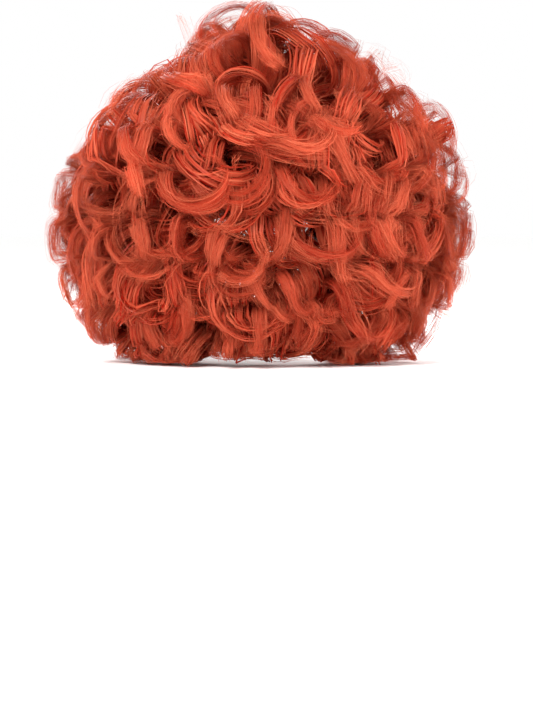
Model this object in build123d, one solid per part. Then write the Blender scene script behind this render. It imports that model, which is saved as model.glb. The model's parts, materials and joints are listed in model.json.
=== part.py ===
from build123d import *
from math import cos, degrees, radians, sin, sqrt
import os

# A curly costume wig on a fitted cap. Millimetres. The origin is the middle of the head at the cap's widest
# level: +X is the wearer's left, +Y points out of the back of the head, +Z is up.

# ---- driving dimensions --------------------------------------------------------------------------
head_half_width = 76.0      # the head that the cap is cut for: half widths, crown height, lower taper
head_half_depth = 96.0
crown_height = 103.0
lower_height = 132.0

hair_half_width = 194.0     # the outside of the curls
hair_half_depth = 178.0
hair_back_shift = 14.0      # the curls stand further out behind than in front
hair_middle = 22.0          # height of the curls' widest level
hair_rise = 172.0           # from that level up to the top of the bulk
hair_fall = 215.0           # how slowly the sides draw in below it
tuft_width = 190.0          # the raised curls on the crown
tuft_half_height = 74.0
tuft_top = 212.0
tuft_shift = -5.0
hair_bottom = -122.0        # where the side curls end and the wig rests
nape_bottom = -106.0        # where the curls over the nape end
nape_half_width = 60.0
face_half_width = 86.0      # the face opening between the side curls
face_top = 56.0
face_arch = 60.0            # height of the rounded top of the face opening
face_back = -20.0           # how far back the face opening reaches
neck_radius = 66.0          # room for the neck under the nape
neck_shift = 4.0

net_thickness = 0.8
band_thickness = 1.1
rib_thickness = 1.0
rib_width = 8.0
track_thickness = 1.5
track_height = 4.0
sewn_gap = 0.3              # between layers that are sewn together
hair_gap = 1.2              # between a track and the roots of its hair
row_gap = 3.0               # between one hair row and the next
edge_gap = 0.5              # between cap panels that meet edge to edge

forehead_level = 46.0       # the cap's edge, seen from the side, as (depth, height) points
temple = (-60.0, 6.0)
tab_front = (-46.0, -34.0)
tab_back = (-27.0, -32.0)
ear_front = (-12.0, -2.0)
ear_top = (8.0, -6.0)
ear_back = (24.0, -38.0)
nape_side = (42.0, -80.0)
nape_level = -84.0
hairline_bend = 0.9         # share of the head's depth at which the hairline starts down to the temple
band_bend = 0.84            # the same for the front band's upper edge
front_band_width = 20.0
temple_band_depth = 14.0    # how far the front band reaches back behind the temple
ear_binding_width = 8.0
ear_corner_inset = 6.0      # the binding's inner edge, in from the corners above and behind the ear
band_join = 2.0             # where the front band's inner edge comes down to the ear binding
nape_band_height = 24.0
nape_band_start = 36.0      # how far behind the ears the nape band takes over from the ear bindings
rib_start = 6.0             # the ribs begin this far behind the ears
rib_end_gap = 4.0           # and stop this far under the whorl

tab_gap = 1.4               # between the cap's edge and an ear tab's root
tab_end_gap = 1.5           # the root is this much shorter than the edge at each end
facing_inset = 2.5
stay_width = 5.0
stay_margin = 2.0           # the stay stops this far inside the facing
stay_thickness = 0.7
facing_thickness = 0.9

strap_level = -72.0         # middle height of the nape adjusters
strap_height = 7.0
strap_thickness = 0.8
casing_wall = 0.7
casing_length = 11.0        # these lengths are in degrees round the nape, about 0.85 mm each
casing_distance = 10.0      # from the strap's hooked end at rest to its casing
strap_spare = 8.0           # strap left in and beyond the casing when it is pulled tightest
slide_clearance = 0.35
tape_thickness = 0.9
tape_height = 10.0
tape_start = 2.0
tape_margin = 4.0           # tape beyond its last loop
loop_pitch = 10.5
loop_count = 3
loop_first = 6.0
loop_slot_width = 3.0
loop_slot_height = 6.5
hook_length = 7.0
hook_tongue_length = 3.0
hook_tongue_overlap = 0.2
hook_set_back = 1.0         # the tongue starts this far before its loop's middle
hook_strap_gap = 0.3
hook_thickness = 1.6
hook_height = 9.0
hook_tongue_height = 4.0

label_width = 22.0
label_height = 13.0
label_thickness = 0.5
label_lift = 3.0            # above the nape band

rib_places = (-48.0, -25.0, 0.0, 25.0, 48.0)
back_rows = 8               # hair rows from the nape to the crown
back_low_angle = -43.0      # heights of the lowest and highest back tracks, as angles up from level
back_high_angle = 50.0
temple_angle = 14.0         # fan angles about the line through both ears, up from straight ahead
front_rows = 4              # hair rows from ear to ear over the top, hairline first
front_low_angle = 30.5
front_high_angle = 80.0
crown_angle = 62.0          # the whorl sits above this angle
whorl_rings = 2
whorl_first = 6.0           # from the whorl's edge to its first ring, and from ring to ring
whorl_step = 11.0
fan_facets = 3              # straight sides at the rim of a wedge in front, far outside the wig

reach = 400.0               # longer than any cut needs

os.makedirs("parts", exist_ok=True)


def save(name, shape):
    shape.label = name
    export_step(shape, f"parts/{name}.step")


# ---- forms that everything else is cut from ------------------------------------------------------
def egg(wide, deep, rise, fall):
    """Half an ellipsoid above level and a longer half below it."""
    half = Box(reach, reach, reach)
    above = scale(Sphere(1), by=(wide, deep, rise)) & Pos(0, 0, reach / 2) * half
    below = scale(Sphere(1), by=(wide, deep, fall)) & Pos(0, 0, -reach / 2) * half
    return above + below


def head_form(offset):
    """The head grown outwards by offset."""
    return egg(
        head_half_width + offset, head_half_depth + offset, crown_height + offset, lower_height + offset
    )


def layer(inner, outer):
    """A skin over the head, from inner to outer millimetres off it."""
    return head_form(outer) - head_form(inner)


def side_prism(points, width=reach):
    """A (depth, height) outline carried across the head from left to right."""
    outline = Polyline(*points, close=True)
    return extrude(Plane.YZ * make_face(outline), amount=width / 2, both=True)


def shifted(point, along, up):
    return (point[0] + along, point[1] + up)


def slab(low, high):
    return Pos(0, 0, (low + high) / 2) * Box(reach, reach, high - low)


def half_space(side):
    """Everything on the wearer's left (+1) or right (-1)."""
    return Pos(side * reach / 2, 0, 0) * Box(reach, 2 * reach, 2 * reach)


def angles(low, high, count):
    return [low + (high - low) * i / (count - 1) for i in range(count)]


def cone_wedge(low, high, radius=reach):
    """The space round the head between two angles up from level, seen from the middle of the head."""
    ends = [(radius * cos(radians(a)), radius * sin(radians(a))) for a in (low, high)]
    outline = Polyline((0, 0), *ends, close=True)
    return revolve(Plane.XZ * make_face(outline), Axis.Z)


def fan_wedge(low, high, radius=reach):
    """The space in front between two angles about the line through both ears."""
    steps = [radians(a) for a in angles(low, high, fan_facets + 1)]
    return side_prism([(0, 0)] + [(-radius * cos(a), radius * sin(a)) for a in steps], 2 * reach)


cap_edge = [
    (-reach, forehead_level), (-head_half_depth * hairline_bend, forehead_level),
    temple, ear_front, ear_top, ear_back, nape_side,
    (reach, nape_level), (reach, reach), (-reach, reach),
]
inner_edge = [
    (-reach, forehead_level + front_band_width),
    (-head_half_depth * band_bend, forehead_level + front_band_width),
    shifted(temple, temple_band_depth, front_band_width),
    shifted(ear_front, band_join, ear_binding_width + band_join),
    shifted(ear_top, ear_corner_inset, ear_binding_width),
    shifted(ear_back, ear_binding_width, ear_corner_inset),
    (nape_side[0], nape_level + nape_band_height),
    (reach, nape_level + nape_band_height),
    (reach, reach), (-reach, reach),
]
cap_zone = side_prism(cap_edge)
net_zone = side_prism(inner_edge)
band_split_y = ear_front[0]
nape_band_top = nape_level + nape_band_height


# ---- cap: nets, bands, bindings and ribs ---------------------------------------------------------
def make_cap():
    net = layer(-net_thickness, 0) & cap_zone
    behind = Pos(0, reach / 2 + edge_gap / 2, 0) * Box(reach, reach, 2 * reach)
    in_front = Pos(0, -reach / 2 - edge_gap / 2, 0) * Box(reach, reach, 2 * reach)
    save("back_net", net & behind)
    save("crown_net", net & in_front)

    band_outer = -net_thickness - sewn_gap
    border = (layer(band_outer - band_thickness, band_outer) & cap_zone) - net_zone
    front = Pos(0, band_split_y - reach / 2 - edge_gap, 0) * Box(reach, reach, 2 * reach)
    save("front_band", border & front)
    low = slab(-reach, nape_band_top - edge_gap)
    nape_cut = low & Pos(0, nape_band_start + reach / 2, 0) * Box(reach, reach, 2 * reach)
    save("nape_band", border & nape_cut)
    middle = Pos(0, band_split_y + reach / 2, 0) * Box(reach, reach, 2 * reach)
    behind_ear = Pos(0, nape_band_start - edge_gap + reach / 2, 0) * Box(reach, reach, 2 * reach)
    ear_part = (border & middle) - behind_ear
    for side, name in ((1, "left"), (-1, "right")):
        save(f"ear_binding_{name}", ear_part & half_space(side))


def make_ribs():
    skin = layer(sewn_gap, sewn_gap + rib_thickness) & cap_zone
    names = ("outer_right", "inner_right", "centre", "inner_left", "outer_left")
    back = Pos(0, reach / 2 + rib_start, 0) * Box(reach, reach, 2 * reach)
    below_crown = slab(-reach, crown_height * sin(radians(crown_angle)) - rib_end_gap)
    for place, name in zip(rib_places, names):
        save(f"rib_{name}", skin & back & below_crown & Pos(place, 0, 0) * Box(rib_width, reach, reach))


# ---- weft tracks and the hair that hangs from them -----------------------------------------------
track_inner = sewn_gap * 2 + rib_thickness
track_outer = track_inner + track_thickness
hair_root = track_outer + hair_gap
mean_radius = (head_half_width + head_half_depth) / 2
track_half_angle = degrees(0.5 * track_height / mean_radius)
row_gap_angle = degrees(row_gap / mean_radius)


def face_opening():
    """The arch between the side curls, from the front of the wig back to the ears."""
    length = reach - face_back
    box = Box(2 * face_half_width, length, reach)
    arch = Rot(90, 0, 0) * scale(Cylinder(1, length), by=(face_half_width, face_arch, 1))
    arch_level = face_top - face_arch
    lower = Pos(0, 0, arch_level - reach / 2) * box
    return Pos(0, face_back - length / 2, 0) * (lower + Pos(0, 0, arch_level) * arch)


def hair_envelope():
    bulk = Pos(0, hair_back_shift, hair_middle) * egg(hair_half_width, hair_half_depth, hair_rise, hair_fall)
    tuft = Pos(tuft_shift, hair_back_shift / 2, tuft_top - tuft_half_height) * scale(
        Sphere(1), by=(tuft_width / 2, tuft_width / 2, tuft_half_height)
    )
    neck = Pos(0, neck_shift, -reach / 2) * Cylinder(neck_radius, reach)
    nape_box = Box(2 * nape_half_width, reach, reach)
    under_nape = Pos(0, neck_shift + reach / 2, nape_bottom - reach / 2) * nape_box
    whole = (bulk + tuft) & slab(hair_bottom, reach)
    return whole - head_form(hair_root) - face_opening() - neck - under_nape


def make_rows():
    skin = layer(track_inner, track_outer) & cap_zone
    hair = hair_envelope()
    behind = Pos(0, reach / 2 + row_gap, 0) * Box(3 * reach, reach, 3 * reach)
    in_front = Pos(0, -reach / 2, 0) * Box(3 * reach, reach, 3 * reach)
    crown = cone_wedge(crown_angle, 90)
    crown_clear = cone_wedge(crown_angle - row_gap_angle, 90)

    levels = angles(back_low_angle, back_high_angle, back_rows)
    step = levels[1] - levels[0]
    for index, level in enumerate(levels):
        number = index + 1
        track = skin & cone_wedge(level - track_half_angle, level + track_half_angle) & behind
        save(f"weft_back_{number}", track)
        low = -90 if index == 0 else level - step / 2 + row_gap_angle
        high = crown_angle if number == back_rows else level + step / 2
        row = hair & cone_wedge(low, high) & behind
        if number == back_rows:
            row = row - crown_clear
        save(f"hair_back_{number}", row)

    fans = angles(front_low_angle, front_high_angle, front_rows)
    step = fans[1] - fans[0]
    for index, level in enumerate(fans):
        number = index + 1
        strip = fan_wedge(level - track_half_angle, level + track_half_angle)
        save(f"weft_front_{number}", (skin & strip & in_front) - crown_clear)
        high = 90 if number == front_rows else level + step / 2
        zone = fan_wedge(level - step / 2 + row_gap_angle, high)
        save(f"hair_front_{number}", (hair & zone & in_front) - crown_clear)

    strip = skin & fan_wedge(temple_angle - track_half_angle, temple_angle + track_half_angle) & in_front
    curls = hair & fan_wedge(-90, fans[0] - step / 2) & in_front
    for side, name in ((1, "left"), (-1, "right")):
        save(f"weft_temple_{name}", strip & half_space(side))
        save(f"hair_temple_{name}", curls & half_space(side))

    rings = [crown_angle + whorl_first + whorl_step * i for i in range(whorl_rings)]
    tracks = [skin & cone_wedge(a - track_half_angle, a + track_half_angle) for a in rings]
    save("weft_crown", Compound(children=[solid for t in tracks for solid in t.solids()]))
    save("hair_crown", hair & crown)


# ---- ear tabs ------------------------------------------------------------------------------------
def surface_x(depth, height):
    """How far out the head's surface is at a (depth, height) point."""
    tall = crown_height if height > 0 else lower_height
    return head_half_width * sqrt(1 - (depth / head_half_depth) ** 2 - (height / tall) ** 2)


def make_ear_tabs():
    root_front = shifted(temple, tab_end_gap, -tab_gap)
    root_back = shifted(ear_front, -tab_end_gap, -tab_gap)
    outline = [root_front, tab_front, tab_back, root_back]
    inset = facing_inset
    facing_outline = [
        shifted(root_front, inset, -inset), shifted(tab_front, inset, inset),
        shifted(tab_back, -inset, inset), shifted(root_back, -inset - stay_margin, -inset),
    ]
    margin = inset + stay_margin
    middle_top = ((root_front[0] + root_back[0]) / 2, (root_front[1] + root_back[1]) / 2 - margin)
    middle_low = ((tab_front[0] + tab_back[0]) / 2, (tab_front[1] + tab_back[1]) / 2 + margin)
    half = stay_width / 2
    stay_outline = [
        shifted(middle_top, -half, 0), shifted(middle_low, -half, 0),
        shifted(middle_low, half, 0), shifted(middle_top, half, 0),
    ]
    stay_outer = -band_thickness - sewn_gap
    facing_outer = stay_outer - stay_thickness - sewn_gap
    tab_skin = layer(-band_thickness, 0) & side_prism(outline)
    stay_skin = layer(stay_outer - stay_thickness, stay_outer) & side_prism(stay_outline)
    facing_skin = layer(facing_outer - facing_thickness, facing_outer) & side_prism(facing_outline)
    for side, name in ((1, "left"), (-1, "right")):
        save(f"ear_tab_{name}", tab_skin & half_space(side))
        save(f"ear_stay_{name}", stay_skin & half_space(side))
        save(f"ear_facing_{name}", facing_skin & half_space(side))
    for label, point in (("front", temple), ("back", ear_front)):
        print(f"ear tab root {label}: x {surface_x(*point):.2f}, y {point[0]:.2f}, z {point[1]:.2f}")


# ---- nape adjusters: they run on arcs about one upright line, so a strap slides along itself -----
level_scale = sqrt(1 - (strap_level / lower_height) ** 2)
bend_radius = (head_half_width * level_scale) ** 2 / (head_half_depth * level_scale)
bend_middle = head_half_depth * level_scale - bend_radius
lean = head_half_depth * -strap_level / lower_height**2 / level_scale     # outward run for each mm of rise
band_inner = bend_radius - (net_thickness + sewn_gap + band_thickness) * sqrt(1 + lean**2) - sewn_gap


def arc_strip(inset, thickness, height, start, end):
    """A leaning strip on the nape arc, between two angles round from the middle towards the wearer's left."""
    outer, half = band_inner - inset, height / 2
    corners = [(outer, -half), (outer, half), (outer - thickness, half), (outer - thickness, -half)]
    outline = Polyline(*[(r + z * lean, z + strap_level) for r, z in corners], close=True)
    strip = revolve(Plane.XZ * make_face(outline), Axis.Z, revolution_arc=end - start)
    return Pos(0, bend_middle, 0) * (Rot(0, 0, 90 - end) * strip)


def make_adjusters():
    last_loop = loop_first + loop_pitch * (loop_count - 1)
    travel = last_loop - loop_first
    hook_start = last_loop - hook_set_back
    strap_start = hook_start + hook_length
    casing_start = strap_start + casing_distance
    casing_end = casing_start + casing_length
    strap_end = casing_start + travel + strap_spare
    slide_inset = tape_thickness + slide_clearance
    tunnel_high = strap_height + 2 * slide_clearance
    tunnel_deep = strap_thickness + 2 * slide_clearance
    for side, name in ((1, "left"), (-1, "right")):
        tape = arc_strip(0, tape_thickness, tape_height, tape_start, last_loop + tape_margin)
        slot_angle = degrees(loop_slot_width / band_inner)
        for i in range(loop_count):
            middle = loop_first + loop_pitch * i
            start, end = middle - slot_angle / 2, middle + slot_angle / 2
            tape = tape - arc_strip(-1, tape_thickness + 2, loop_slot_height, start, end)
        wall_inset = slide_inset - slide_clearance - casing_wall
        casing = arc_strip(
            wall_inset, tunnel_deep + 2 * casing_wall, tunnel_high + 2 * casing_wall, casing_start, casing_end
        ) - arc_strip(wall_inset + casing_wall, tunnel_deep, tunnel_high, casing_start - 1, casing_end + 1)
        strap = arc_strip(slide_inset, strap_thickness, strap_height, strap_start, strap_end)
        plate_start = hook_start + hook_tongue_length
        plate = arc_strip(slide_inset, hook_thickness, hook_height, plate_start, strap_start - hook_strap_gap)
        tongue_end = plate_start + hook_tongue_overlap
        tongue = arc_strip(slide_inset, strap_thickness, hook_tongue_height, hook_start, tongue_end)
        pieces = {"loop_tape": tape, "casing": casing, "strap": strap, "hook": plate + tongue}
        for piece, shape in pieces.items():
            placed = shape if side > 0 else mirror(shape, Plane.YZ)
            save(f"adjuster_{piece}_{name}", placed)
    print(f"adjusters turn {travel:.1f} degrees about x 0, y {bend_middle:.2f}, z {strap_level:.1f}")


def make_label():
    inner = -net_thickness - sewn_gap - label_thickness
    skin = layer(inner, -net_thickness - sewn_gap)
    low = nape_band_top + label_lift
    patch = Pos(0, reach / 2, low + label_height / 2) * Box(label_width, reach, label_height)
    save("care_label", skin & patch)


make_cap()
make_ribs()
make_rows()
make_ear_tabs()
make_adjusters()
make_label()
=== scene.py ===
import json
import math

import bmesh
import bpy
import numpy as np
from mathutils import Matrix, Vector
from mathutils.bvhtree import BVHTree


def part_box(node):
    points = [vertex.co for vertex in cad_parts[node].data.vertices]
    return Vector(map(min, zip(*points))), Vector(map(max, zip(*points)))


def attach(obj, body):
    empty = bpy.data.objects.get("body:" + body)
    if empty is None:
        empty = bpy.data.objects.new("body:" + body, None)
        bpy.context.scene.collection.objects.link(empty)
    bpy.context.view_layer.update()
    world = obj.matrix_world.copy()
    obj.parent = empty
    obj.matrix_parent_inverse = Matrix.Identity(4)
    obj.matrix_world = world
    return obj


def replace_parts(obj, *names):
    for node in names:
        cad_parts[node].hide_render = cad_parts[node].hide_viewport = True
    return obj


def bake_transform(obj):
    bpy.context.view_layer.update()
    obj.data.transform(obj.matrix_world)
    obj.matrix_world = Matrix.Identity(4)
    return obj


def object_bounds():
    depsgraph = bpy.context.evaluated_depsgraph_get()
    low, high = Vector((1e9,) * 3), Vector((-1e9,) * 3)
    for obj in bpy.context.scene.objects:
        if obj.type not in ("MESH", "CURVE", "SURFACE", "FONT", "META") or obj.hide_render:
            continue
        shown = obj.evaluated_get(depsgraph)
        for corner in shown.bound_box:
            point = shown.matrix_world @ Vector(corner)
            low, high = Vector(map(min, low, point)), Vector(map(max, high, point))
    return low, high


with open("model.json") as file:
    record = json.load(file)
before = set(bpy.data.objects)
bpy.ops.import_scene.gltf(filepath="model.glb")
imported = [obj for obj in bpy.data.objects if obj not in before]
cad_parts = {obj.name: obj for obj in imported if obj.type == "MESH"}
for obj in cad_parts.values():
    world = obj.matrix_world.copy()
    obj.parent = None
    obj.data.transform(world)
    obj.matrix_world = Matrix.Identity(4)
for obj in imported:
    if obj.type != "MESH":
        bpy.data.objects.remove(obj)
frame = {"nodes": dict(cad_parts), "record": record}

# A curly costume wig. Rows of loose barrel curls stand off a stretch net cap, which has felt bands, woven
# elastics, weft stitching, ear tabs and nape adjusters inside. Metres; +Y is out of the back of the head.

cad_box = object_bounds()
nodes = frame["nodes"]
MM = 0.001
rng = np.random.default_rng(7)


# ---- helpers ------------------------------------------------------------------------------------------
def srgb(code):
    """A linear colour from an sRGB hex code."""
    parts = [int(code[i:i + 2], 16) / 255 for i in (0, 2, 4)]
    return tuple(c / 12.92 if c <= 0.04045 else ((c + 0.055) / 1.055) ** 2.4 for c in parts) + (1.0,)


def add(tree, kind, inputs=None, stops=(), **settings):
    """A node with its settings and two colour stops, and its inputs set to a value or linked from a socket."""
    made = tree.nodes.new(kind)
    for name, value in settings.items():
        setattr(made, name, value)
    for number, (place, code) in enumerate(stops):
        made.color_ramp.elements[number].position = place
        made.color_ramp.elements[number].color = srgb(code)
    for key, value in (inputs or {}).items():
        if isinstance(value, bpy.types.NodeSocket):
            tree.links.new(value, made.inputs[key])
        else:
            made.inputs[key].default_value = value
    return made


def new_material(name):
    material = bpy.data.materials.new(name)
    material.use_nodes = True
    material.node_tree.nodes.clear()
    return material, material.node_tree


def mesh_object(name, vertices, edges=(), faces=()):
    mesh = bpy.data.meshes.new(name)
    mesh.from_pydata([tuple(v) for v in vertices], [tuple(e) for e in edges], [tuple(f) for f in faces])
    made = bpy.data.objects.new(name, mesh)
    bpy.context.scene.collection.objects.link(made)
    return made


def unit(v):
    v = np.asarray(v, float)
    return v / np.linalg.norm(v)


def smooth(t):
    t = np.clip(t, 0, 1)
    return t * t * (3 - 2 * t)


# ---- camera, floor and light --------------------------------------------------------------------------
floor_level = cad_box[0].z

camera_distance = 2.6
view_width = 0.675            # how much of the upright plane through the wig is in view, side to side
aim_below = 0.118             # the wig fills the upper half of the view
camera_aside, camera_height = -0.0045, 0.02
camera = bpy.data.objects.new("camera", bpy.data.cameras.new("camera"))
bpy.context.scene.collection.objects.link(camera)
bpy.context.scene.camera = camera
camera.location = (camera_aside, camera_distance, camera_height)
target = Vector((camera_aside, 0, -aim_below))
camera.rotation_euler = (target - camera.location).to_track_quat("-Z", "Y").to_euler()
camera.data.lens = camera.data.sensor_width * camera_distance / view_width

floor_size = 12.0
corners = [(x * floor_size, y * floor_size, floor_level) for x, y in ((-1, -1), (1, -1), (1, 1), (-1, 1))]
floor = mesh_object("studio_floor", corners, faces=[(0, 1, 2, 3)])
paper, tree = new_material("studio_paper")
shader = add(tree, "ShaderNodeBsdfPrincipled", {"Base Color": srgb("FEFEFD"), "Roughness": 0.9})
add(tree, "ShaderNodeOutputMaterial", {"Surface": shader.outputs[0]})
floor.data.materials.append(paper)

world = bpy.data.worlds.new("studio")
bpy.context.scene.world = world
world.use_nodes = True
world.node_tree.nodes["Background"].inputs["Color"].default_value = (1, 1, 1, 1)
world.node_tree.nodes["Background"].inputs["Strength"].default_value = 1.0
bpy.context.scene.view_settings.view_transform = "Standard"

lights_aim = Vector((0, 0, 0.05))


def area_light(name, place, size, power):
    light = bpy.data.lights.new(name, "AREA")
    light.size, light.energy = size, power
    made = bpy.data.objects.new(name, light)
    bpy.context.scene.collection.objects.link(made)
    made.location = place
    made.rotation_euler = (lights_aim - Vector(place)).to_track_quat("-Z", "Y").to_euler()


area_light("key", (0.7, 1.9, 1.5), 0.7, 74)
area_light("fill", (-1.6, 1.3, 0.5), 1.2, 32)
area_light("front", (0.4, -1.8, 1.2), 1.2, 60)

# ---- the head that the cap is cut for, read from the net ----------------------------------------------
net_low, net_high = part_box("back_net")
head_half = np.array([net_high.x, net_high.y, net_high.z])
head_fall = head_half[2] * 1.28            # the head tapers more slowly below its widest level
neck_radius = 63 * MM
neck_centre = np.array([0, 4 * MM])
neck_top = net_low.z + 20 * MM


def head_axes(points, grow=0.0):
    """The head's half sizes at each point: taller below the widest level."""
    tall = np.where(points[:, 2] > 0, head_half[2], head_fall)
    return np.stack([np.full(len(points), head_half[0]), np.full(len(points), head_half[1]), tall], 1) + grow


def outward(point):
    """The head's outward direction at a point on it."""
    return unit(point / head_axes(point[None])[0] ** 2)


def keep_outside(points, gap):
    """Moves points that are inside the cap, or in the room for the neck, out to its surface."""
    axes = head_axes(points, gap)
    inside = np.sqrt(((points / axes) ** 2).sum(1))
    scale = np.where((inside < 1) & (points[:, 2] > net_low.z), 1 / np.maximum(inside, 1e-6), 1)
    points = points * scale[:, None]
    across = points[:, :2] - neck_centre
    off = np.linalg.norm(across, axis=1)
    low = (points[:, 2] < neck_top) & (off < neck_radius)
    points[low, :2] = neck_centre + across[low] * (neck_radius / off[low])[:, None]
    return points


# ---- roots: where each lock leaves its weft track -----------------------------------------------------
track_bin = math.radians(3)                # a track's corner points within this angle make one middle point
widest_gap = 2.5                           # no lock starts in a gap of more spacings than this
whorl_middle = ((10 * MM, 0), (-10 * MM, 5 * MM), (0, -10 * MM))


def track_lines(node):
    """The middle lines of a weft track, from its corner points. The whorl's track has two rings."""
    co = np.array([v.co for v in nodes[node].data.vertices])
    over_head = "front" in node or "temple" in node
    along = np.arctan2(co[:, 0], np.hypot(co[:, 1], co[:, 2]) if over_head else co[:, 1])
    parts = [np.full(len(co), True)]
    if node == "weft_crown":
        upper = co[:, 2] > (co[:, 2].min() + co[:, 2].max()) / 2
        parts = [upper, ~upper]
    bins = np.round(along / track_bin).astype(int)
    return [np.array([co[part & (bins == b)].mean(0) for b in np.unique(bins[part])]) for part in parts]


def track_points(line, spacing):
    """Evenly spaced places along a weft track's line."""
    gaps = np.linalg.norm(np.diff(line, axis=0), axis=1)
    walked = np.concatenate([[0], np.cumsum(gaps)])
    count = max(2, int(walked[-1] / spacing))
    places = (np.arange(count) + 0.5) * walked[-1] / count
    found = np.stack([np.interp(places, walked, line[:, i]) for i in range(3)], 1)
    wide = [np.interp(p, walked, np.append(gaps, 0)) < widest_gap * spacing for p in places]
    return found[np.array(wide)]


def lock_roots(node, spacing):
    """Where the locks of a row start. A few start at the middle of the whorl."""
    found = [track_points(line, spacing) for line in track_lines(node)]
    if node == "weft_crown":
        top = max(points[:, 2].max() for points in found)
        found.append(np.array([[x, y, top] for x, y in whorl_middle]))
    return np.concatenate(found)


hair_nodes = sorted(n for n in nodes if n.startswith("hair_"))
outer_vertices, outer_faces = [], []
for name in hair_nodes:
    mesh = nodes[name].data
    base = len(outer_vertices)
    outer_vertices += [v.co.copy() for v in mesh.vertices]
    outer_faces += [[base + i for i in p.vertices] for p in mesh.polygons]
hair_outside = BVHTree.FromPolygons(outer_vertices, outer_faces)

well_outside = 0.6                         # further out than any curl
usual_room = 80 * MM


def room(point, direction):
    """How far the curls reach from a root in a direction."""
    far = Vector(point) + Vector(direction) * well_outside
    hit = hair_outside.ray_cast(far, -Vector(direction))[0]
    return (hit - Vector(point)).length if hit else usual_room


shape_centre = Vector((0, 14 * MM, 20 * MM))
ease = 0.1                                 # the last share of the way out is where points are eased back


def draw_in(path, stray):
    """Eases points back to the outside of the whole mass of curls, give or take a little stray."""
    for i, point in enumerate(path):
        ray = Vector(point) - shape_centre
        length = ray.length
        hit = hair_outside.ray_cast(shape_centre + ray / length * well_outside, -ray)[0]
        if hit is None:
            continue
        limit = (hit - shape_centre).length * stray
        over = length / limit - (1 - ease)
        if over > 0:
            path[i] = shape_centre + ray / length * limit * (1 - ease + ease * math.tanh(over / ease))
    return path


# ---- curls --------------------------------------------------------------------------------------------
steps = 18                                 # points along a guide
bend_points, curl_points, run_points = 16, 40, 7
curl_climb = 0.12                          # how far a curl moves along its own axis, as a share of its path


def curl_path(root, out, fall, reach, lean, bend, turn, slant, wide, tight):
    """A lock's middle line: a run outwards, a bend over into the fall, then a curl about an axis that is
    slanted from across the lock to its outward side. Returns points, across vectors and length shares."""
    side = np.cross(out, fall)
    over = math.radians(96) - lean
    start = unit(out * math.cos(lean) + fall * math.sin(lean))
    sink = np.cross(side, start)
    angle = np.linspace(0, over, bend_points)
    arc = np.outer(np.sin(angle), start) + np.outer(1 - np.cos(angle), sink)
    run = max(reach - bend * (1 - math.sin(lean)), 0.01) / math.cos(lean)
    share = np.linspace(0, 1, run_points + 1)[:-1]
    first = np.concatenate([np.outer(share * run, start), start * run + bend * arc])
    ahead = start * math.cos(over) + sink * math.sin(over)
    inward = np.cross(side, ahead)
    axis = side * math.cos(slant) + inward * math.sin(slant)
    turned = np.linspace(0, turn, curl_points)
    radius = wide + (tight - wide) * np.linspace(0, 1, curl_points) ** 0.8
    round_axis = np.outer(np.cos(turned), ahead) + np.outer(np.sin(turned), np.cross(axis, ahead))
    heading = round_axis + curl_climb * axis
    moves = heading[:-1] * (radius[:-1] * turn / (curl_points - 1))[:, None]
    curl = first[-1] + np.cumsum(moves, 0)
    line = np.concatenate([first, curl])
    length = np.concatenate([[0], np.cumsum(np.linalg.norm(np.diff(line, axis=0), axis=1))])
    turns = np.concatenate([np.zeros(run_points), angle / over * 1.5, 1.5 + turned[1:]])
    weight = 0.3 * length / length[-1] + 0.7 * turns / turns[-1]
    pick = np.linspace(0, 1, steps)
    path = np.stack([np.interp(pick, weight, line[:, i]) for i in range(3)], 1)
    t = np.interp(pick, weight, length / length[-1])
    change = smooth((pick - 0.25) / 0.4)[:, None]
    across = side * (1 - change) + axis * change
    return root + path, across, t


stray_range = (0.94, 1.07)                 # how far a wisp ends from the outside of the mass, as a share
cap_clearance = 0.005
floor_clearance = (0.003, 0.008)


class Guides:
    """Collects wisp guides as edge chains with the attributes that the strand tree reads."""

    kinds = dict(
        across="FLOAT_VECTOR", lift="FLOAT_VECTOR", run="FLOAT", girth="FLOAT", tone="FLOAT", strands="FLOAT"
    )

    def __init__(self):
        self.points = []
        self.values = {key: [] for key in self.kinds}

    def add(self, path, across, t, width, depth, tone, strands, thickness=1.0):
        path = keep_outside(draw_in(path, rng.uniform(*stray_range)), cap_clearance)
        path[:, 2] = np.maximum(path[:, 2], floor_level + rng.uniform(*floor_clearance))
        tangent = np.gradient(path, axis=0)
        tangent /= np.linalg.norm(tangent, axis=1)[:, None] + 1e-9
        across = across - tangent * (across * tangent).sum(1)[:, None]
        across /= np.linalg.norm(across, axis=1)[:, None] + 1e-9
        lift = np.cross(tangent, across)
        spread = (0.2 + 0.8 * smooth(t / 0.4) - 0.4 * smooth((t - 0.7) / 0.3))[:, None]
        self.points.append(path)
        taper = (0.7 + 0.3 * smooth(t / 0.1)) * (1 - 0.75 * smooth((t - 0.75) / 0.25))
        values = dict(
            across=across * width * spread, lift=lift * depth * spread, run=t, girth=thickness * taper,
            tone=np.full(steps, tone), strands=np.full(steps, float(strands)),
        )
        for key, value in values.items():
            self.values[key].append(value)

    def object(self, name):
        count = len(self.points)
        edges = [(c * steps + i, c * steps + i + 1) for c in range(count) for i in range(steps - 1)]
        made = mesh_object(name, np.concatenate(self.points), edges)
        for key, kind in self.kinds.items():
            data = np.concatenate(self.values[key]).astype(np.float32)
            layer = made.data.attributes.new(key, kind, "POINT")
            layer.data.foreach_set("vector" if kind == "FLOAT_VECTOR" else "value", data.ravel())
        return made


def turned_about(v, axis, angle):
    along = axis * np.dot(axis, v)
    return v * math.cos(angle) + np.cross(axis, v) * math.sin(angle) + along * (1 - math.cos(angle))


def flow(point):
    """Which way the curls lean here: neighbours lean alike. Between -1 and 1."""
    x, y, z = point * 1000
    return math.sin(x / 27 + z / 41) * math.cos(z / 23 - y / 37)


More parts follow.
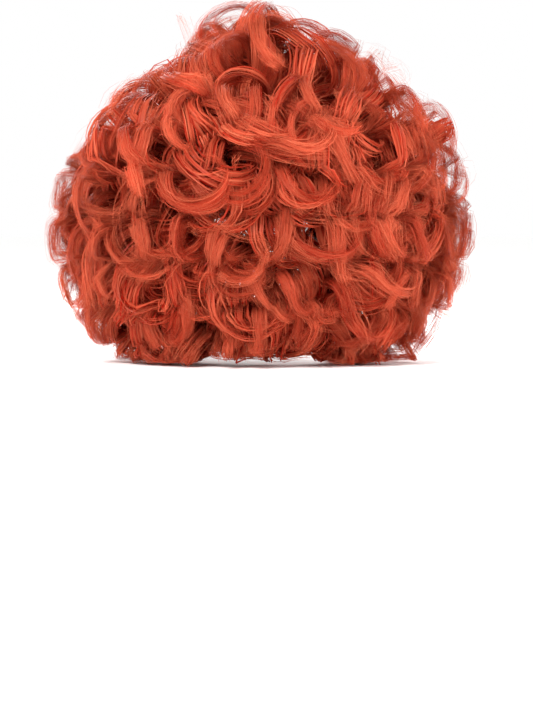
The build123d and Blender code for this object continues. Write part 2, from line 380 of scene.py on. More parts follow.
outer_wisp = dict(width=0.0062, depth=0.0045, strands=36)
inner_wisp = dict(width=0.009, depth=0.006, strands=13, thickness=4.0)
# painted light: the stray strands get a light tone that stands in for light through the thin outer edges
flyaways = dict(width=0.014, depth=0.009, tone=0.85, strands=14, thickness=0.7)
inner_painted_shade = 0.6                          # painted shade: the inner locks are darker, deep in the mass


def grow_lock(guides, root, style, inner=None):
    """One curl: several wisps side by side that share a path, and loosen from each other along it. An inner
    lock has fewer and wider strands, and stays within the given share of the way out."""
    out = outward(root)
    out = unit(out + np.array(style["lift"]) + rng.normal(0, 0.10, 3))
    down = np.array([0, 0, -1.0])
    fall = unit(down - out * np.dot(down, out) + rng.normal(0, 0.05, 3))
    tilt = style["tilt"] * (0.8 * flow(root) + rng.normal(0, 0.7))
    fall = turned_about(unit(fall - out * np.dot(fall, out)), out, tilt)
    reach = room(root, out) * rng.uniform(*style["reach"]) * (rng.uniform(*inner) if inner else 1)
    turn = math.radians(rng.uniform(*style["turn"]))
    wide = rng.uniform(*style["wide"])
    tight = wide * rng.uniform(0.55, 0.85)
    bend = min(rng.uniform(0.024, 0.042), 0.6 * reach)
    hand = 1 if flow(root[[1, 2, 0]]) + rng.normal(0, 0.6) > 0 else -1
    # the curls at the sides wind upright, those behind and in front wind flat
    behind = 0.25 + 0.75 * min(1, 1.7 * out[1] ** 2)
    slant = hand * math.radians(rng.uniform(*style["slant"])) * behind
    lean = math.radians(rng.uniform(5, 25))
    tone = rng.uniform(0.1, 0.9)
    wisps = 2 if inner else 3
    spread = 0.016 if inner else rng.uniform(0.006, 0.013)
    for w in range(wisps):
        place = (w + 0.5) / wisps - 0.5 + rng.normal(0, 0.05)
        path, across, t = curl_path(
            root, out, fall, reach + rng.normal(0, 0.002), lean + rng.normal(0, 0.05), bend,
            turn * rng.uniform(0.88, 1.1), slant + rng.normal(0, 0.1), wide * rng.uniform(0.92, 1.08),
            tight * rng.uniform(0.85, 1.15),
        )
        path = path + across * (smooth(t / 0.5) * spread * place)[:, None]
        own = np.clip(tone + rng.normal(0, 0.14), 0.02, 0.98)
        if inner:
            # an inner wisp's tone is darkened as painted shade
            guides.add(path, across, t, tone=own * inner_painted_shade, **inner_wisp)
        else:
            guides.add(path, across, t, tone=own, **outer_wisp)
    if not inner:
        path, across, t = curl_path(
            root, out, fall, reach + rng.uniform(-0.004, 0.008), lean + rng.normal(0, 0.2), bend,
            turn * rng.uniform(0.6, 1), slant + rng.normal(0, 0.4), wide * rng.uniform(0.9, 1.3), tight * 1.2,
        )
        guides.add(path, across, t, **flyaways)


# ---- strands: a tree that splits each guide into strands and gives them their width -------------------
def start_tree(name, sockets):
    """An empty tree on a geometry, with named inputs. Returns it and its inputs' sockets."""
    tree = bpy.data.node_groups.new(name, "GeometryNodeTree")
    tree.interface.new_socket(name="Geometry", in_out="INPUT", socket_type="NodeSocketGeometry")
    for socket, kind in sockets.items():
        tree.interface.new_socket(name=socket, in_out="INPUT", socket_type="NodeSocket" + kind)
    tree.interface.new_socket(name="Geometry", in_out="OUTPUT", socket_type="NodeSocketGeometry")
    return tree, add(tree, "NodeGroupInput").outputs


def end_tree(tree, geometry, material):
    """Makes instances real, sets the material and joins the result to the tree's output."""
    real = add(tree, "GeometryNodeRealizeInstances", {"Geometry": geometry}).outputs[0]
    done = add(tree, "GeometryNodeSetMaterial", {"Geometry": real, "Material": material}).outputs[0]
    add(tree, "NodeGroupOutput", {"Geometry": done})
    return tree


resting_depth = 4 * MM                     # strands that reach the floor lie in a layer this deep


def strand_tree():
    tree, given = start_tree("strand_bundle", {
        "Strand Half Width": "Float", "Wander": "Float", "Tip Spread": "Float", "Roll": "Float",
        "Rest Level": "Float", "Seed": "Int", "Material": "Material",
    })
    sums, vectors = "ShaderNodeMath", "ShaderNodeVectorMath"
    of, stored = {}, "GeometryNodeInputNamedAttribute"
    for name, kind in {**Guides.kinds, "lot": "FLOAT_VECTOR", "side": "FLOAT"}.items():
        of[name] = add(tree, stored, {"Name": name}, data_type=kind).outputs["Attribute"]
    curves = add(tree, "GeometryNodeMeshToCurve", {"Mesh": given["Geometry"]}).outputs["Curve"]
    curves = add(
        tree, "GeometryNodeDuplicateElements", {"Geometry": curves, "Amount": of["strands"]}, domain="SPLINE"
    ).outputs["Geometry"]
    index = add(tree, "GeometryNodeInputIndex").outputs[0]
    lot = add(
        tree, "FunctionNodeRandomValue", {0: (-1, -1, -1), 1: (1, 1, 1), "ID": index, "Seed": given["Seed"]},
        data_type="FLOAT_VECTOR",
    ).outputs[0]
    curves = add(
        tree, "GeometryNodeStoreNamedAttribute", {"Geometry": curves, "Name": "lot", "Value": lot},
        data_type="FLOAT_VECTOR", domain="CURVE",
    ).outputs[0]
    lots = add(tree, "ShaderNodeSeparateXYZ", {0: of["lot"]}).outputs
    size_of_lot = [add(tree, sums, {0: lots[i]}, operation="ABSOLUTE").outputs[0] for i in range(3)]

    # each strand keeps its own place in the lock
    sideways = add(tree, vectors, {0: of["across"], "Scale": lots[0]}, operation="SCALE").outputs[0]
    upwards = add(tree, vectors, {0: of["lift"], "Scale": lots[1]}, operation="SCALE").outputs[0]
    together = add(tree, vectors, {0: sideways, 1: upwards}, operation="ADD").outputs[0]
    gather = add(tree, sums, {0: size_of_lot[2], 1: 0.6}, operation="POWER").outputs[0]
    offset = add(tree, vectors, {0: together, "Scale": gather}, operation="SCALE").outputs[0]

    # it wanders from that place towards the tip
    place = add(tree, "GeometryNodeInputPosition").outputs[0]
    waves = add(tree, vectors, {0: place, "Scale": 22.0}, operation="SCALE").outputs[0]
    own_waves = add(tree, vectors, {0: of["lot"], "Scale": 9.0}, operation="SCALE").outputs[0]
    apart = add(tree, vectors, {0: waves, 1: own_waves}, operation="ADD").outputs[0]
    noise = add(tree, "ShaderNodeTexNoise", {"Vector": apart, "Scale": 1.0, "Detail": 1.0}).outputs["Color"]
    centred = add(tree, vectors, {0: noise, 1: (0.5, 0.5, 0.5)}, operation="SUBTRACT").outputs[0]
    freed = add(tree, sums, {0: of["run"], 1: 1.3}, operation="POWER").outputs[0]
    amount = add(tree, sums, {0: freed, 1: given["Wander"]}, operation="MULTIPLY").outputs[0]
    wander = add(tree, vectors, {0: centred, "Scale": amount}, operation="SCALE").outputs[0]

    # and it slips along the lock, so that the tips don't end together
    tangent = add(tree, "GeometryNodeInputTangent").outputs[0]
    late = add(tree, sums, {0: of["run"], 1: 3.0}, operation="POWER").outputs[0]
    share = add(tree, sums, {0: late, 1: lots[2]}, operation="MULTIPLY").outputs[0]
    slip = add(tree, sums, {0: share, 1: given["Tip Spread"]}, operation="MULTIPLY").outputs[0]
    slipped = add(tree, vectors, {0: tangent, "Scale": slip}, operation="SCALE").outputs[0]
    moved = add(tree, vectors, {0: offset, 1: wander}, operation="ADD").outputs[0]
    moved = add(tree, vectors, {0: moved, 1: slipped}, operation="ADD").outputs[0]
    curves = add(tree, "GeometryNodeSetPosition", {"Geometry": curves, "Offset": moved}).outputs[0]

    # a strand that would go through the floor lies in a thin layer on it
    now = add(tree, "ShaderNodeSeparateXYZ", {0: add(tree, "GeometryNodeInputPosition").outputs[0]}).outputs
    pile = add(tree, sums, {0: size_of_lot[1], 1: resting_depth}, operation="MULTIPLY").outputs[0]
    lowest = add(tree, sums, {0: given["Rest Level"], 1: pile}, operation="ADD").outputs[0]
    above = add(tree, sums, {0: now[2], 1: lowest}, operation="MAXIMUM").outputs[0]
    rested = add(tree, "ShaderNodeCombineXYZ", {0: now[0], 1: now[1], 2: above}).outputs[0]
    curves = add(tree, "GeometryNodeSetPosition", {"Geometry": curves, "Position": rested}).outputs[0]

    # a strip along each strand, rolled a little about it so that neighbours catch the light differently
    flat = add(tree, vectors, {0: of["across"]}, operation="NORMALIZE").outputs[0]
    up = add(tree, vectors, {0: of["lift"]}, operation="NORMALIZE").outputs[0]
    roll = add(tree, sums, {0: lots[1], 1: given["Roll"]}, operation="MULTIPLY").outputs[0]
    rolled = add(tree, vectors, {0: up, "Scale": roll}, operation="SCALE").outputs[0]
    facing = add(tree, vectors, {0: rolled, 1: flat}, operation="SUBTRACT").outputs[0]
    curves = add(
        tree, "GeometryNodeSetCurveNormal", {"Curve": curves, "Normal": facing}, mode="FREE"
    ).outputs[0]
    line = add(tree, "GeometryNodeCurvePrimitiveLine", {"Start": (-1, 0, 0), "End": (1, 0, 0)}).outputs[0]
    x = add(tree, "ShaderNodeSeparateXYZ", {0: add(tree, "GeometryNodeInputPosition").outputs[0]}).outputs[0]
    line = add(
        tree, "GeometryNodeStoreNamedAttribute", {"Geometry": line, "Name": "side", "Value": x},
        data_type="FLOAT", domain="POINT",
    ).outputs[0]
    varied = add(tree, sums, {0: lots[2], 1: 0.2, 2: 1.0}, operation="MULTIPLY_ADD").outputs[0]
    thick = add(tree, sums, {0: of["girth"], 1: varied}, operation="MULTIPLY").outputs[0]
    half_width = add(tree, sums, {0: thick, 1: given["Strand Half Width"]}, operation="MULTIPLY").outputs[0]
    strips = add(
        tree, "GeometryNodeCurveToMesh", {"Curve": curves, "Profile Curve": line, "Scale": half_width}
    ).outputs[0]

    # the map: root to tip, and each strand's own shade across; the darker tone of the inner locks in it is
    # painted shade
    lock_shade = add(tree, sums, {0: of["tone"], 1: 0.8, 2: 0.09}, operation="MULTIPLY_ADD").outputs[0]
    shade = add(tree, sums, {0: lots[0], 1: 0.08, 2: lock_shade}, operation="MULTIPLY_ADD").outputs[0]
    across_map = add(tree, sums, {0: of["side"], 1: 0.004, 2: shade}, operation="MULTIPLY_ADD").outputs[0]
    uv = add(tree, "ShaderNodeCombineXYZ", {0: of["run"], 1: across_map}).outputs[0]
    strips = add(
        tree, "GeometryNodeStoreNamedAttribute", {"Geometry": strips, "Name": "OFBake", "Value": uv},
        data_type="FLOAT2", domain="CORNER",
    ).outputs[0]
    strips = add(tree, "GeometryNodeSetShadeSmooth", {"Geometry": strips, "Shade Smooth": True}).outputs[0]
    return end_tree(tree, strips, given["Material"])


def set_inputs(modifier, values):
    """Sets a tree's inputs by their names."""
    for item in modifier.node_group.interface.items_tree:
        if item.in_out == "INPUT" and item.name in values:
            modifier[item.identifier] = values[item.name]


def baked(carrier, tree, values, name):
    """Runs a tree on a carrier object and returns the result as a plain mesh object."""
    modifier = carrier.modifiers.new("build", "NODES")
    modifier.node_group = tree
    set_inputs(modifier, values)
    graph = bpy.context.evaluated_depsgraph_get()
    mesh = bpy.data.meshes.new_from_object(carrier.evaluated_get(graph), depsgraph=graph)
    mesh.name = name
    for key in list(Guides.kinds) + ["lot", "side"]:
        if key in mesh.attributes:
            mesh.attributes.remove(mesh.attributes[key])
    made = bpy.data.objects.new(name, mesh)
    bpy.context.scene.collection.objects.link(made)
    bpy.data.objects.remove(carrier)
    return made


# ---- hair material ------------------------------------------------------------------------------------
ramp = "ShaderNodeValToRGB"
fibre_colours = ((0.2, "BE1E0A"), (0.92, "FF966C"))
painted_root_shade_stops = ((0.0, "8C4032"), (1.0, "FFFFFF"))     # painted shade: darker at the roots, deep in the mass


def hair_material():
    """Modacrylic fibre, extruded and dyed through: silky, slightly see-through against the light, with a soft
    highlight along each strand. Reads the strand map: root to tip, with painted shade darkening the colour
    towards the roots, and each strand's own tone, darker in the inner locks as painted shade."""
    material, tree = new_material("modacrylic_hair_red")
    chart = add(tree, "ShaderNodeUVMap", uv_map="OFBake").outputs[0]
    u, v, _ = add(tree, "ShaderNodeSeparateXYZ", {0: chart}).outputs
    scaled = add(tree, "ShaderNodeMath", {0: v, 1: 70.0}, operation="MULTIPLY").outputs[0]
    noise = add(tree, "ShaderNodeTexNoise", {"W": scaled, "Scale": 1.0, "Detail": 1.0}, noise_dimensions="1D")
    shade = add(tree, "ShaderNodeMath", {0: noise.outputs[0], 1: 0.75}, operation="MULTIPLY").outputs[0]
    lot = add(tree, "ShaderNodeMath", {0: v, 1: 0.25, 2: shade}, operation="MULTIPLY_ADD").outputs[0]
    colour = add(tree, ramp, {"Fac": lot}, fibre_colours).outputs[0]
    # painted shade: the colour is darkened towards the roots, where the mass of hair shades it
    painted_root_shade = add(tree, ramp, {"Fac": u}, painted_root_shade_stops).outputs[0]
    mixed = add(tree, "ShaderNodeMix", {0: 1.0, 6: colour, 7: painted_root_shade}, data_type="RGBA", blend_type="MULTIPLY")
    shader = add(
        tree, "ShaderNodeBsdfPrincipled",
        {"Base Color": mixed.outputs[2], "Roughness": 0.4, "IOR": 1.5, "Specular IOR Level": 0.06},
    )
    glow = add(tree, "ShaderNodeBsdfTranslucent", {"Color": mixed.outputs[2]})
    both = add(tree, "ShaderNodeMixShader", {0: 0.42, 1: shader.outputs[0], 2: glow.outputs[0]})
    add(tree, "ShaderNodeOutputMaterial", {"Surface": both.outputs[0]})
    return material


hair_red = hair_material()
strands = strand_tree()

rows = {name: name.replace("hair_", "weft_") for name in hair_nodes}

# How the locks of a row grow: lift leans their start, tilt turns their fall, reach is a share of the room, turn
# and slant are in degrees, and wide is the curl's radius.
style_parts = ("lift", "tilt", "reach", "turn", "wide", "slant")
style_values = {
    "nape": ((0, 0, 0.1), 0.5, (0.45, 0.9), (40, 130), (0.026, 0.040), (0, 70)),
    "low": ((0, 0, 0.25), 0.6, (0.7, 1.0), (90, 200), (0.026, 0.038), (25, 80)),
    "middle": ((0, 0, 0.2), 0.7, (0.7, 1.0), (120, 250), (0.025, 0.038), (35, 88)),
    "top": ((0, 0, 0.3), 1.0, (0.84, 1.05), (120, 250), (0.025, 0.038), (35, 88)),
    "crown": ((0, 0, 0.8), 3.0, (0.7, 1.05), (120, 250), (0.024, 0.036), (10, 85)),
    "front": ((0, 0, 0.15), 0.5, (0.7, 0.95), (130, 240), (0.020, 0.030), (0, 80)),
    "lining": ((0, 0, 0.3), 3.0, (0.9, 1.0), (60, 130), (0.030, 0.050), (0, 50)),
}
styles = {name: dict(zip(style_parts, values)) for name, values in style_values.items()}


def style_of(name):
    if name == "hair_back_1":
        return styles["nape"]
    if name in ("hair_back_2", "hair_back_3"):
        return styles["low"]
    if name.startswith("hair_front") or name.startswith("hair_temple"):
        return styles["front"]
    if name == "hair_crown":
        return styles["crown"]
    if name in ("hair_back_7", "hair_back_8"):
        return styles["top"]
    return styles["middle"]


usual_spacing = 0.0125
spacings = {"hair_back_1": 0.010, "hair_crown": 0.0135}
inner_per_root = 2
inner_share = (0.5, 0.85)


def finished_curls(guides, number, name):
    """Turns guides into one plain mesh of strands that belongs to the wig."""
    sizes = {
        "Strand Half Width": 0.00018, "Wander": 0.0115, "Tip Spread": 0.008, "Roll": 0.7,
        "Rest Level": floor_level + 0.0004, "Seed": number, "Material": hair_red,
    }
    piece = baked(guides.object(name + "_guides"), strands, sizes, name)
    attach(piece, "wig")
    return piece


for number, (name, track) in enumerate(rows.items()):
    guides = Guides()
    for root in lock_roots(track, spacings.get(name, usual_spacing)):
        grow_lock(guides, root, style_of(name))
        for _ in range(inner_per_root):
            grow_lock(guides, root + rng.normal(0, 0.004, 3), style_of(name), inner_share)
    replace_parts(finished_curls(guides, number, "curls_" + name[5:]), name)

# Short under-hair over the top of the cap, between the tracks, so that the open net doesn't show from above.
lining_count = 100
lining_lowest = 0.30                       # as a share of the head's height
lining_share = (0.3, 0.5)
hairline = -0.05
guides = Guides()
for i in range(lining_count):
    height = 1 - (i + 0.5) / lining_count * (1 - lining_lowest)
    turn = i * math.pi * (3 - math.sqrt(5))
    level = math.sqrt(1 - height ** 2)
    root = head_half * (level * math.cos(turn), level * math.sin(turn), height)
    if root[1] > hairline:
        grow_lock(guides, root, styles["lining"], lining_share)
finished_curls(guides, len(rows), "curls_lining")


# ---- cap materials ------------------------------------------------------------------------------------
def finish_material(tree, colour, roughness, level, bump, sheen=0.0):
    """Ends a material: its shader, and a bump from a pattern's height and its depth in metres."""
    shader = add(
        tree, "ShaderNodeBsdfPrincipled",
        {"Base Color": colour, "Roughness": roughness, "Specular IOR Level": level, "Sheen Weight": sheen},
    )
    height, distance = bump
    made = add(tree, "ShaderNodeBump", {"Height": height, "Distance": distance, "Strength": 0.6})
    tree.links.new(made.outputs[0], shader.inputs["Normal"])
    add(tree, "ShaderNodeOutputMaterial", {"Surface": shader.outputs[0]})


def brushed_cloth(name, dark, light, fibre, sheen):
    """Felt, brushed knit or suede cloth: a fine mottle of matted fibres, from one colour to another."""
    material, tree = new_material(name)
    place = add(tree, "ShaderNodeTexCoord").outputs["Object"]
    fine = add(tree, "ShaderNodeTexNoise", {"Vector": place, "Scale": 1 / fibre, "Detail": 3.0}).outputs[0]
    broad = add(
        tree, "ShaderNodeTexNoise", {"Vector": place, "Scale": 0.08 / fibre, "Detail": 2.0}
    ).outputs[0]
    both = add(tree, "ShaderNodeMath", {0: fine, 1: 0.7, 2: broad}, operation="MULTIPLY_ADD").outputs[0]
    colour = add(tree, ramp, {"Fac": both}, ((0.55, dark), (1.0, light))).outputs[0]
    finish_material(tree, colour, 0.95, 0.2, (fine, 0.4 * fibre), sheen)
    return material


def ribbed_cloth(name, dark, light, pitch, axis):
    """Woven elastic, knitted or stitched tape: fine ribs along one direction with thread flecks."""
    material, tree = new_material(name)
    place = add(tree, "ShaderNodeTexCoord").outputs["Object"]
    ribs = add(
        tree, "ShaderNodeTexWave",
        {"Vector": place, "Scale": 0.314 / pitch, "Distortion": 0.6, "Detail": 1.0}, bands_direction=axis,
    ).outputs["Fac"]
    flecks = add(
        tree, "ShaderNodeTexNoise", {"Vector": place, "Scale": 1.5 / pitch, "Detail": 2.0}
    ).outputs[0]
    both = add(tree, "ShaderNodeMath", {0: ribs, 1: 0.6, 2: flecks}, operation="MULTIPLY_ADD").outputs[0]
    colour = add(tree, ramp, {"Fac": both}, ((0.3, dark), (1.0, light))).outputs[0]
    finish_material(tree, colour, 0.8, 0.3, (ribs, 0.25 * pitch))
    return material


def moulded(name, dark, light, grain, roughness):
    """Moulded or extruded plastic with a faint flow mottle in its colour."""
    material, tree = new_material(name)
    place = add(tree, "ShaderNodeTexCoord").outputs["Object"]
    cloud = add(tree, "ShaderNodeTexNoise", {"Vector": place, "Scale": 1 / grain, "Detail": 2.0}).outputs[0]
    colour = add(tree, ramp, {"Fac": cloud}, ((0.3, dark), (0.7, light))).outputs[0]
    finish_material(tree, colour, roughness, 0.5, (cloud, 0.02 * grain))
    return material


# knitted, felted and brushed cloths are matt with a soft edge light; woven tapes and satin show their ribs;
# moulded nylon is smooth and reflects softly, and the extruded strip is milky
stretch_knit = brushed_cloth("nylon_stretch_knit_burgundy", "2A0808", "5A1A18", 0.4 * MM, 0.1)
felt = brushed_cloth("soft_felt_black", "0C0A0B", "2E2A2C", 0.5 * MM, 0.3)
suede = brushed_cloth("brushed_microsuede_black", "100E0F", "363134", 0.35 * MM, 0.5)
elastic = ribbed_cloth("woven_elastic_black", "0A090A", "332F32", 0.9 * MM, "Z")
wefting = ribbed_cloth("stitched_wefting_red", "4A120C", "9A3322", 0.8 * MM, "DIAGONAL")
thread_black = ribbed_cloth("polyester_thread_black", "080808", "2C2A2B", 0.3 * MM, "DIAGONAL")
thread_red = ribbed_cloth("polyester_thread_red", "5A140C", "B04030", 0.3 * MM, "DIAGONAL")
satin = ribbed_cloth("polyester_satin_ivory", "CFC8BA", "F2EEE4", 0.25 * MM, "X")
stay_plastic = moulded("polypropylene_strip_clear_white", "C8C6BE", "E4E2DC", 3 * MM, 0.45)
hook_plastic = moulded("moulded_nylon_black", "060607", "121214", 2 * MM, 0.3)

finishes = {
    "front_band": felt, "nape_band": felt, "ear_binding": felt, "ear_tab": felt, "ear_facing": suede,
    "rib_": elastic, "adjuster_strap": elastic, "adjuster_loop_tape": elastic, "adjuster_casing": elastic,
    "weft_": wefting, "ear_stay": stay_plastic, "adjuster_hook": hook_plastic, "care_label": satin,
}
for name, thing in nodes.items():
    for start, material in finishes.items():
        if name.startswith(start):
            thing.data.materials.clear()
            thing.data.materials.append(material)


# ---- cap net: a hexagonal open mesh over the head, cut to each net panel ------------------------------
def net_tree():
    tree, given = start_tree("open_net", {"Thread Radius": "Float", "Material": "Material"})
    cells = add(tree, "GeometryNodeDualMesh", {"Mesh": given["Geometry"], "Keep Boundaries": True}).outputs[0]
    threads = add(tree, "GeometryNodeMeshToCurve", {"Mesh": cells}).outputs[0]
    ring = add(
        tree, "GeometryNodeCurvePrimitiveCircle", {"Resolution": 3, "Radius": given["Thread Radius"]}
    ).outputs["Curve"]
    solid = add(tree, "GeometryNodeCurveToMesh", {"Curve": threads, "Profile Curve": ring}).outputs[0]
    return end_tree(tree, solid, given["Material"])


def node_surface(node):
    mesh = nodes[node].data
    corners = [v.co.copy() for v in mesh.vertices]
    return BVHTree.FromPolygons(corners, [list(p.vertices) for p in mesh.polygons])


net_depth = 0.4 * MM          # the net lies in the middle of its panel
net_reach = 0.7 * MM          # a cell belongs to the cap if its corners are this close to a panel
net_thread = 0.2 * MM
net_cells = bmesh.new()
bmesh.ops.create_icosphere(net_cells, subdivisions=6, radius=1.0)
net_points = np.array([v.co for v in net_cells.verts])
net_faces = [[v.index for v in f.verts] for f in net_cells.faces]
net_cells.free()
net_points = net_points * head_axes(net_points, -net_depth)
open_net = net_tree()
panels = {node: node_surface(node) for node in ("back_net", "crown_net")}
on_cap = [any(p.find_nearest(Vector(v), net_reach)[0] for p in panels.values()) for v in net_points]
for node, ahead in (("back_net", 1), ("crown_net", -1)):
    kept = [f for f in net_faces if all(on_cap[i] for i in f) and ahead * net_points[f, 1].mean() > 0]
    used = sorted({i for f in kept for i in f})
    place = {old: new for new, old in enumerate(used)}
    carrier = mesh_object(node + "_cells", net_points[used], faces=[[place[i] for i in f] for f in kept])
    piece = baked(carrier, open_net, {"Thread Radius": net_thread, "Material": stretch_knit}, node + "_mesh")
    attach(piece, "wig")
    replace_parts(piece, node)


# ---- stitches: thread along seams, and loops that bind each weft track --------------------------------
stitch_slant = 0.9            # radians that a stitch leans along its seam
sharp_edge = math.radians(50)


def stitch_tree():
    tree, given = start_tree("stitch_run", {
        "Pitch": "Float", "Half Length": "Float", "Half Width": "Float", "Half Height": "Float",
        "Thread Radius": "Float", "Material": "Material",
    })
    runs = add(tree, "GeometryNodeMeshToCurve", {"Mesh": given["Geometry"]}).outputs[0]
    runs = add(tree, "GeometryNodeResampleCurve", {"Curve": runs}, mode="LENGTH")
    tree.links.new(given["Pitch"], next(i for i in runs.inputs if i.name == "Length"))
    runs = runs.outputs[0]
    outwards = add(
        tree, "GeometryNodeInputNamedAttribute", {"Name": "outward"}, data_type="FLOAT_VECTOR"
    ).outputs["Attribute"]
    tangent = add(tree, "GeometryNodeInputTangent").outputs[0]
    turn = add(
        tree, "FunctionNodeAxesToRotation", {0: outwards, 1: tangent}, primary_axis="Z", secondary_axis="X"
    ).outputs[0]
    ring = add(tree, "GeometryNodeCurvePrimitiveCircle", {"Resolution": 8, "Radius": 1.0}).outputs["Curve"]
    ring = add(tree, "GeometryNodeTransform", {"Geometry": ring, "Rotation": (0, math.pi / 2, 0)}).outputs[0]
    halves = {0: given["Half Length"], 1: given["Half Width"], 2: given["Half Height"]}
    shape = add(tree, "ShaderNodeCombineXYZ", halves).outputs[0]
    lean = add(tree, "GeometryNodeTransform", {"Geometry": ring, "Rotation": (0, 0, stitch_slant)}).outputs[0]
    loop = add(tree, "GeometryNodeTransform", {"Geometry": lean, "Scale": shape}).outputs[0]
    thread = add(
        tree, "GeometryNodeCurvePrimitiveCircle", {"Resolution": 4, "Radius": given["Thread Radius"]}
    ).outputs["Curve"]
    loop = add(tree, "GeometryNodeCurveToMesh", {"Curve": loop, "Profile Curve": thread}).outputs[0]
    made = add(
        tree, "GeometryNodeInstanceOnPoints", {"Points": runs, "Instance": loop, "Rotation": turn}
    ).outputs[0]
    made = add(tree, "GeometryNodeSetShadeSmooth", {"Geometry": made, "Shade Smooth": True}).outputs[0]
    return end_tree(tree, made, given["Material"])


stitch_run = stitch_tree()


def stitched(runs, values, name):
    """Stitches along runs of thread, each given as points, the way they face and the edges between them."""
    edges, start = [], 0
    for points, _, joined in runs:
        edges += [(start + a, start + b) for a, b in joined]
        start += len(points)
    carrier = mesh_object(name + "_line", np.concatenate([points for points, _, _ in runs]), edges)
    layer = carrier.data.attributes.new("outward", "FLOAT_VECTOR", "POINT")
    ways = np.concatenate([way for _, way, _ in runs]).astype(np.float32)
    layer.data.foreach_set("vector", ways.ravel())
    return baked(carrier, stitch_run, values, name)


def seam(node, inset, lift, clear=0.0):
    """A run just inside the outline of a sewn piece, on its side that faces the head. Nothing is sewn within
    the clear distance of the piece's middle height."""
    low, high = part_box(node)
    mesh = bmesh.new()
    mesh.from_mesh(nodes[node].data)
    bmesh.ops.remove_doubles(mesh, verts=mesh.verts, dist=1e-6)
    places, ways, joined = {}, {}, []
    for edge in mesh.edges:
        if len(edge.link_faces) != 2 or edge.calc_face_angle(0) < sharp_edge:
            continue
        towards = Vector(-outward(np.array(edge.verts[0].co)))
        wall, inner = sorted(edge.link_faces, key=lambda f: f.normal.dot(towards))
        if inner.normal.dot(towards) < 0.8 or abs(edge.verts[0].co.z - (low.z + high.z) / 2) < clear:
            continue
        for v in edge.verts:
            shift = np.array(-wall.normal * inset + inner.normal * lift)
            places.setdefault(v.index, [np.array(v.co)]).append(shift)
            ways.setdefault(v.index, []).append(np.array(inner.normal))
        joined.append([v.index for v in edge.verts])
    order = {index: place for place, index in enumerate(places)}
    mesh.free()
    points = np.array([moves[0] + np.mean(moves[1:], 0) for moves in places.values()])
    way = np.array([unit(np.sum(normals, 0)) for normals in ways.values()])
    return points, way, [(order[a], order[b]) for a, b in joined]


flat_stitch = {
    "Pitch": 2.6 * MM, "Half Length": 1.1 * MM, "Half Width": 0.2 * MM, "Half Height": 0.15 * MM,
    "Thread Radius": 0.13 * MM, "Material": thread_black,
}
low_stitch = {"Half Height": 0.03 * MM, "Thread Radius": 0.08 * MM}     # a strap slides over these
short_stitch = {"Pitch": 1.8 * MM, "Half Length": 0.7 * MM}
stitch_lift = 0.1 * MM
strap_room = 4 * MM           # each side of the looped tape's middle, where the strap runs


def seam_piece(name, body, seams, values=None, clear=0.0):
    """Stitches along the outlines of sewn pieces, each given with its inset, as one piece on a body."""
    runs = [seam(node, inset, stitch_lift, clear) for node, inset in seams]
    piece = stitched(runs, {**flat_stitch, **(values or {})}, name)
    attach(piece, body)


seam_piece("band_stitches", "wig", [
    ("front_band", 1.6 * MM), ("nape_band", 1.6 * MM),
    ("ear_binding_left", 1.4 * MM), ("ear_binding_right", 1.4 * MM),
])
seam_piece("label_stitches", "wig", [("care_label", 1.0 * MM)], short_stitch)
for side in ("left", "right"):
    tape, facing = f"adjuster_loop_tape_{side}", f"ear_facing_{side}"
    seam_piece(f"loop_tape_stitches_{side}", "wig", [(tape, 0.9 * MM)], low_stitch, strap_room)
    seam_piece(f"ear_facing_stitches_{side}", f"ear_tab_{side}_flap", [(facing, 1.4 * MM)])

# the thread that binds the hair onto each track goes right round it
track_middle = 2.35 * MM      # the tracks' mid thickness, off the head
track_break = 15 * MM         # middle points further apart than this are not joined
whipping = {
    "Pitch": 2.4 * MM, "Half Length": 1.1 * MM, "Half Width": 3.5 * MM, "Half Height": 0.9 * MM,
    "Thread Radius": 0.13 * MM, "Material": thread_red,
}
runs = []
for track in rows.values():
    for line in track_lines(track):
        axes = head_axes(line, track_middle)
        line = line / np.sqrt(((line / axes) ** 2).sum(1))[:, None]
        near = np.linalg.norm(np.diff(line, axis=0), axis=1) < track_break
        runs.append((line, np.array([outward(p) for p in line]), [(i, i + 1) for i in np.flatnonzero(near)]))
weft_threads = stitched(runs, whipping, "weft_threads")
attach(weft_threads, "wig")

# the overlocked seam that joins the two nets, from ear to ear over the top
seam_points = 60
seam_angles = np.linspace(math.radians(3), math.radians(177), seam_points)
seam_line = np.stack([np.cos(seam_angles), np.zeros(seam_points), np.sin(seam_angles)], 1)
seam_line = seam_line * head_axes(seam_line, -net_depth)
overlock = {
    "Pitch": 1.1 * MM, "Half Length": 0.9 * MM, "Half Width": 4.2 * MM, "Half Height": 0.6 * MM,
    "Thread Radius": 0.15 * MM, "Material": thread_red,
}
seam_ways = np.array([outward(p) for p in seam_line])
seam_edges = [(i, i + 1) for i in range(seam_points - 1)]
crown_seam = stitched([(seam_line, seam_ways, seam_edges)], overlock, "crown_seam")
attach(crown_seam, "wig")

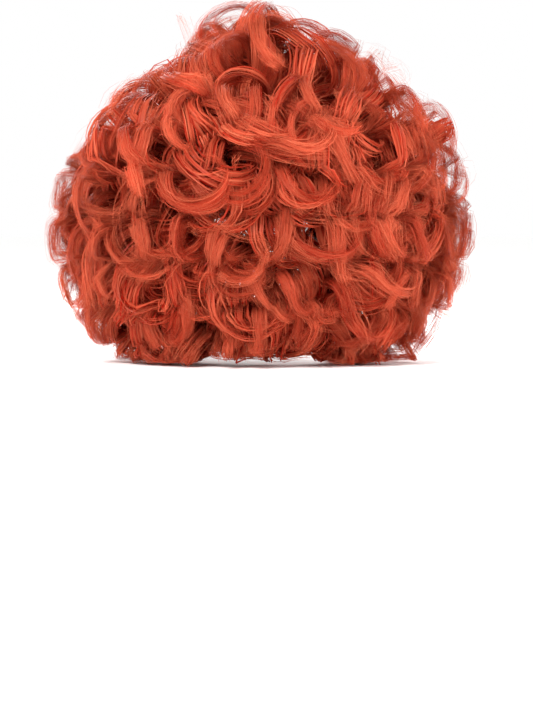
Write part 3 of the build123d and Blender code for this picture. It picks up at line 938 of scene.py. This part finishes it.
# ---- ear tab hinges: a strip of stretch cloth sewn over the gap that each tab folds at ----------------
hinge_above, hinge_below = 4 * MM, 7 * MM
hinge_half_length = 23 * MM
hinge_lift, hinge_thickness = 0.15 * MM, 0.4 * MM
fold_start, fold_end = 0.2 * MM, 2.2 * MM     # two places down the strip from the fold line
across_count, along_count = 12, 24            # points of the strip's grid


def hinge_strip(name, middle, along):
    """A strip on the outside of the head, along the fold line and a few millimetres each side of it."""
    down = np.cross(outward(middle), along)
    down = down if down[2] < 0 else -down
    grid = []
    for layer in (hinge_lift, hinge_lift + hinge_thickness):
        for v in np.linspace(-hinge_above, hinge_below, across_count):
            for u in np.linspace(-hinge_half_length, hinge_half_length, along_count):
                point = middle + along * u + down * v
                on_head = point / np.sqrt(((point / head_axes(point[None])[0]) ** 2).sum())
                grid.append(on_head + outward(on_head) * layer)
    size = across_count * along_count

    def at(layer, v, u):
        return layer * size + v * along_count + u

    faces = []
    for v in range(across_count - 1):
        for u in range(along_count - 1):
            faces.append((at(1, v, u), at(1, v, u + 1), at(1, v + 1, u + 1), at(1, v + 1, u)))
            faces.append((at(0, v, u), at(0, v + 1, u), at(0, v + 1, u + 1), at(0, v, u + 1)))
        for u, turn in ((0, 1), (along_count - 1, -1)):
            faces.append((at(0, v, u), at(1, v, u), at(1, v + 1, u), at(0, v + 1, u))[::turn])
    for u in range(along_count - 1):
        for v, turn in ((0, -1), (across_count - 1, 1)):
            faces.append((at(0, v, u), at(1, v, u), at(1, v, u + 1), at(0, v, u + 1))[::turn])
    piece = mesh_object(name, grid, faces=faces)
    shape = bmesh.new()
    shape.from_mesh(piece.data)
    bmesh.ops.recalc_face_normals(shape, faces=shape.faces)
    shape.to_mesh(piece.data)
    shape.free()
    return piece, down


for joint in frame["record"]["behaviour"]["joints"]:
    if not joint["name"].startswith("ear_tab"):
        continue
    middle, along = np.array(joint["pos_m"]), unit(joint["axis"])
    piece, down = hinge_strip(joint["name"].replace("_fold", "_hinge_strip"), middle, along)
    piece.data.materials.append(stretch_knit)
    start, end = middle + down * fold_start, middle + down * fold_end
    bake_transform(piece)
